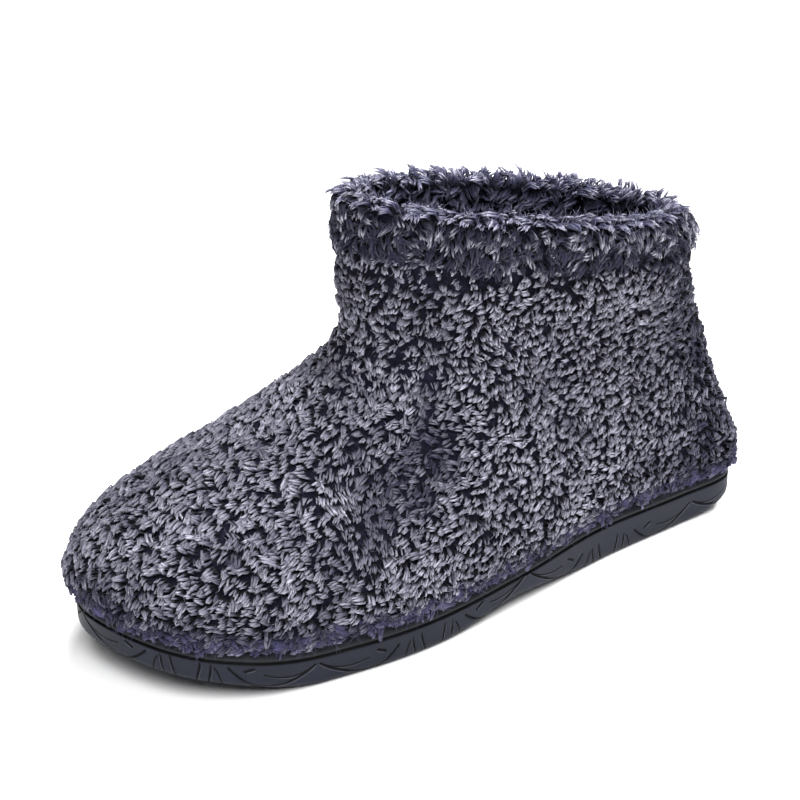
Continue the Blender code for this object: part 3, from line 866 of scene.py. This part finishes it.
def painted_hollow_shade(points):
    """How much painted shade the valley of the seam and the crease get, 0 to 1: their locks lose frost to
    stand in for the shade of these hollows.
    """
    valley = bell(points[:, 2] - 0.069, 0.018)
    seam = np.clip(1.5 - line_gap(points, SEAM) / (0.0052 + 0.0072 * valley), 0, 1) * (0.38 + 0.62 * valley)
    crease = np.clip(1.3 - line_gap(points, CREASE) / 0.0034, 0, 1) * (points[:, 1] > 0) * 0.7
    return np.maximum(seam, crease) * np.clip(0.85 + 0.5 * swirl(points, 130.0, 9), 0.2, 1)


def build_body_pile(triangles):
    """The frosted pile of the vamp, the sides and the heel, up to the rolled hem."""
    frosted = pile_material("frosted_pile", (0.0008, 0.0008, 0.0028), (0.014, 0.014, 0.039),
                            (0.58, 0.57, 0.69), 0.30, 0.88)
    points, outward = scattered(triangles, 0.0022, 1, lambda p: 0.0002 * toe_share(p))
    body = below_collar(points) > BODY_PILE_TOP
    points, outward = points[body], outward[body]
    x, height, count = points[:, 0], points[:, 2], len(points)

    toe = toe_share(points)
    chance = np.random.default_rng(SEED)
    naps = fallen(outward, 0.30 + 0.9 * np.clip(x / 0.10 + 0.2, 0, 1))
    bends = swirl(points, 45.0, 1) * (0.9 - 0.35 * toe) + chance.normal(0, 0.22, count)
    naps = turned(naps, outward, bends)
    size = chance.uniform(0.78, 1.25, count) * (1 + 0.12 * toe)
    length = (0.0032 + 0.0006 * toe) * size * chance.uniform(0.75, 1.2, count)
    width = 0.0026 * size
    lift = (0.0041 - 0.0005 * toe) * chance.uniform(0.75, 1.2, count)
    clumps = swirl(points, 150.0, 2)
    patches = swirl(points, 38.0, 8)
    # Less frost towards the toe: painted shade that evens the toe's well-lit top with the sides. The clumps
    # and patches vary at random
    frost = 0.91 - 0.27 * toe + 0.26 * clumps + 0.21 * patches + chance.normal(0, 0.12, count)

    # The lowest locks have lost some frost. The heel's locks are darker, painted shade for the side turned
    # from the light, and the seam's valley and the crease get painted shade
    # Painted shade on the heel
    frost -= 0.66 * np.clip(-(x + 0.070) / 0.05, 0, 1)
    rim = sole_heights(x - SHIFT[0])[2]
    frost -= 0.62 * np.clip(1 - (height - rim - 0.004 - 0.002 * toe) / (0.006 + 0.004 * toe), 0, 1)
    # Painted shade in the seam's valley and the crease: frost taken off their locks
    hollow_shade = painted_hollow_shade(points)
    frost = np.clip(frost * (1 - 0.96 * hollow_shade), 0.03, 0.98)
    lift *= 1 + 0.22 * clumps
    lift *= 1 - 0.30 * hollow_shade

    # Each zone with its locks' droop and gather: flatter at the toe, rounder on the sides and the heel
    middle = (x > HEEL_END) & (x <= VAMP_START)
    outer_side = points[:, 1] > 0
    zones = {
        "pile_toe": (x > TOE_START, 0.60, 0.46),
        "pile_vamp": ((x > VAMP_START) & (x <= TOE_START), 0.62, 0.50),
        "pile_outer_side": (middle & outer_side, 0.70, 0.66),
        "pile_inner_side": (middle & ~outer_side, 0.70, 0.66),
        "pile_heel": (x <= HEEL_END, 0.70, 0.66),
    }
    for k, (name, (where, droop, gather)) in enumerate(zones.items()):
        locks(name, points[where], outward[where], naps[where], length[where], width[where], lift[where],
              frost[where], frosted, curl=0.42, droop=droop, gather=gather, seed=k)


def build_collar(triangles, rest, dark):
    """The rolled hem, the pale ridge on its edge and the dark lining inside the shaft."""
    chance = np.random.default_rng(SEED + 1)
    build_collar_hem(triangles, chance)
    ridge, lining = [], []
    for face in rest:
        centre = face.calc_center_median()
        below = float(collar_height(centre.x)) - centre.z
        away = Vector((centre.x - SHAFT.x, centre.y - SHAFT.y, 0)).normalized()
        if below < RIDGE_FOOT and face.normal.z > 0.2:
            ridge.append(face)
        elif centre.z > 0.045 and face.normal.dot(away) < 0.1:
            lining.append(face)
    build_ridge(triangles_of(ridge), chance)
    build_lining(triangles_of(lining), chance, dark)


def build_collar_hem(triangles, chance):
    """A dark band with frosted tufts, most of them on its upper edge."""
    collar = pile_material("collar_pile", (0.004, 0.004, 0.012), (0.015, 0.015, 0.038), (0.58, 0.57, 0.68),
                           0.50, 0.94)
    points, outward = scattered(triangles, 0.0022, 11)
    edge = below_collar(points)
    hem = edge <= HEM_PILE_FOOT
    points, outward, edge = points[hem], outward[hem], edge[hem]
    count = len(points)
    naps = turned(fallen(outward, np.full(count, 0.35)), outward, chance.normal(0, 0.5, count))
    size = chance.uniform(0.75, 1.30, count)
    tufted = chance.random(count) < 0.20
    frost = np.where(tufted, chance.uniform(0.6, 0.95, count), chance.uniform(0.02, 0.14, count))
    upper_edge = (edge < RIDGE_FOOT) & (chance.random(count) < 0.7)
    frost[upper_edge] = chance.uniform(0.35, 0.95, upper_edge.sum())
    lift = 0.0040 * size * np.where(frost > 0.5, 1.25, 1.0)
    locks("collar_hem_pile", points, outward, naps, 0.0054 * size, 0.0027 * size, lift, frost, collar,
          wisps=4, wisp=0.0022, seed=11)


def build_ridge(triangles, chance):
    """Pale tufts on the collar's edge that lean outwards."""
    # The ridge's lighter middle and tips: partly the edge's own frost, partly painted light from above on the
    # collar's edge
    pale = pile_material("ridge_pile", (0.012, 0.012, 0.029), (0.060, 0.060, 0.122), (0.62, 0.61, 0.75),
                         0.46, 1.0)
    points, outward = scattered(triangles, 0.0019, 12)
    count = len(points)
    naps = turned(laid(from_shaft(points), outward), outward, chance.normal(0, 0.7, count))
    size = chance.uniform(0.7, 1.35, count)
    frost = np.clip(chance.normal(0.70, 0.22, count), 0.10, 0.98)
    locks("collar_ridge_pile", points, outward, naps, 0.0048 * size, 0.0026 * size, 0.0040 * size, frost,
          pale, fingers=6, wisps=5, wisp=0.0022, seed=12, droop=0.40, gather=0.5)


def build_lining(triangles, chance, material):
    """Dark fluff inside the shaft, thinner lower down."""
    points, outward = scattered(
        triangles, 0.0032, 13, lambda p: 0.0026 * np.clip((below_collar(p) - 0.012) / 0.02, 0, 1))
    # High up, only what clearly faces the inside, so that no lock pokes out through the wall
    facing = (outward * from_shaft(points)).sum(axis=1)
    kept = facing < -0.25 * (points[:, 2] > 0.090)
    points, outward = points[kept], outward[kept]
    count = len(points)
    naps = turned(fallen(outward, np.full(count, 0.2)), outward, chance.normal(0, 0.9, count))
    size = chance.uniform(0.8, 1.3, count)
    near_edge = np.clip(1 - below_collar(points) / 0.024, 0, 1)
    frost = np.clip(chance.uniform(0.05, 0.5, count) + 0.5 * near_edge, 0, 0.95)
    locks("lining_pile", points, outward, naps, 0.0056 * size, 0.0040 * size, 0.0027 * size, frost, material,
          fingers=4, wisp=0.0026, seed=13, curl=0.4)


def build_insole(material):
    """The loose pad inside: the CAD pad softened, with a short dark nap on its top."""
    shape = merged_copy("insole")
    bmesh.ops.dissolve_limit(shape, angle_limit=0.02, verts=shape.verts, edges=shape.edges)
    bmesh.ops.triangulate(shape, faces=shape.faces)
    shape.normal_update()
    triangles = triangles_of([f for f in shape.faces if f.normal.z > 0.7])
    cover = backing_material("insole_cover", (0.008, 0.008, 0.020), (0.024, 0.025, 0.052))
    pad = stand_in("insole_pad", shape, cover)
    shape.free()
    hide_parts("insole")
    points, outward = scattered(triangles, 0.0052, 14)
    chance = np.random.default_rng(SEED + 3)
    count = len(points)
    naps = laid(np.tile((1.0, 0.0, 0.0), (count, 1)), outward)
    naps = turned(naps, outward, chance.normal(0, 1.0, count))
    size = chance.uniform(0.8, 1.3, count)
    frost = chance.uniform(0.05, 0.6, count)
    locks("insole_pile", points, outward, naps, 0.0056 * size, 0.0052 * size, 0.0024 * size, frost, material,
          fingers=3, wisps=0, seed=14, curl=0.4)


def build_hem():
    """Ragged fluff that has lost its frost, hanging over the sole's lip from a soft lumpy edge."""
    chance = np.random.default_rng(SEED + 2)
    fluff = pile_material("hem_pile", (0.010, 0.010, 0.025), (0.038, 0.036, 0.083), (0.36, 0.35, 0.47),
                          0.50, 1.0)
    steps = 260
    outline, normal = sole_outline(steps)
    points, outward, naps = [], [], []
    for up, out, fall in ((0.0052, 0.0006, 0.9), (0.0030, 0.0002, 1.4)):
        flat = outline + normal * (out + chance.normal(0, 0.0004, (steps, 1)))
        height = sole_heights(flat[:, 0])[2] + up + chance.normal(0, 0.0009, steps)
        points.append(np.column_stack([flat, height]) + (*SHIFT, 0))
        outward.append(np.column_stack([normal, np.full(steps, 0.15)]))
        naps.append(np.column_stack([normal * 0.1, np.full(steps, -fall)]))
    points, outward = np.vstack(points), unit(np.vstack(outward))
    count = len(points)
    naps = turned(laid(np.vstack(naps), outward), outward, chance.normal(0, 0.8, count))
    size = chance.uniform(0.75, 1.35, count)
    frost = np.clip(chance.normal(0.18, 0.20, count), 0.03, 0.9)
    locks("hem_pile", points, outward, naps, 0.0029 * size, 0.0048 * size, 0.0030 * size, frost, fluff,
          wisps=4, wisp=0.0015, seed=21, curl=0.7, droop=0.75, gather=0.45, crinkle=0.16)
    build_hem_roll()


def build_hem_roll():
    """The soft lumpy edge of the fleece where it meets the sole's lip."""
    around, sides = 1040, 10
    outline, normal = sole_outline(around)
    rim = sole_heights(outline[:, 0])[2]
    middle = np.column_stack([outline + normal * -0.0008, rim + 0.0030])
    out = np.column_stack([normal, np.zeros(around)])
    points = []
    for turn in np.arange(sides) * 2 * math.pi / sides:
        way = out * math.cos(turn) + np.array((0, 0, 1.0)) * math.sin(turn)
        places = middle + way * 0.0026
        lumps = swirl(places, 150.0, 5) * 0.0013 + swirl(places, 420.0, 6) * 0.0005
        points.append(middle + way * (0.0029 + lumps)[:, None])
    points = np.stack(points, axis=1).reshape(-1, 3) + (*SHIFT, 0)
    index = np.arange(around * sides).reshape(around, sides)
    ahead, beside = np.roll(index, -1, axis=0), np.roll(index, -1, axis=1)
    faces = np.stack([index, ahead, np.roll(ahead, -1, axis=1), beside], axis=-1).reshape(-1, 4).tolist()
    roll = piece("hem_roll", points, faces, hem_material())


def build_stage():
    """A pale floor, a soft key light, a broad light from above and a dim even surround."""
    bpy.ops.mesh.primitive_plane_add(size=24.0, location=(0, 0, 0))
    floor = bpy.context.object
    floor.name = "floor"
    floor.data.materials.append(floor_material())

    world = bpy.data.worlds.new("studio")
    bpy.context.scene.world = world
    world.use_nodes = True
    surround = world.node_tree.nodes["Background"]
    surround.inputs["Color"].default_value = (1.0, 1.0, 1.0, 1)
    surround.inputs["Strength"].default_value = 0.09

    key = bpy.data.lights.new("key", "AREA")
    key.size = 2.4
    key.energy = 210.0
    top = bpy.data.lights.new("top", "SUN")
    top.angle = math.radians(42)
    top.energy = 6.2
    for light, spot in ((key, (0.90, 1.95, 3.25)), (top, (-1.50, -0.35, 3.20))):
        lamp = bpy.data.objects.new(light.name, light)
        lamp.location = spot
        lamp.rotation_euler = (Vector((0, 0, 0.05)) - Vector(spot)).to_track_quat("-Z", "Y").to_euler()
        bpy.context.scene.collection.objects.link(lamp)


def build_camera():
    """The photograph's view: distance and direction from the target, with a slight roll."""
    turn, rise, roll = math.radians(32.66), math.radians(25.02), math.radians(-0.91)
    distance, focal_pixels, photo_width = 0.7077, 1725.3, 800
    target = Vector((0.13428 + SHIFT[0], -0.03378 + SHIFT[1], 0.05922))
    back = Vector((math.sin(turn) * math.cos(rise), math.cos(turn) * math.cos(rise), math.sin(rise)))
    level = (-back).cross(Vector((0, 0, 1))).normalized()
    upright = level.cross(-back)
    right = level * math.cos(roll) + upright * math.sin(roll)
    up = upright * math.cos(roll) - level * math.sin(roll)
    lens = bpy.data.cameras.new("camera")
    lens.sensor_width = 36.0
    lens.lens = focal_pixels / photo_width * lens.sensor_width
    camera = bpy.data.objects.new("camera", lens)
    facing = Matrix((right, up, back)).transposed().to_4x4()
    camera.matrix_world = Matrix.Translation(target + back * distance) @ facing
    bpy.context.scene.collection.objects.link(camera)
    bpy.context.scene.camera = camera


build_camera()
build_stage()
build_sole()
build_upper()

bpy.context.scene.view_settings.view_transform = "Standard"
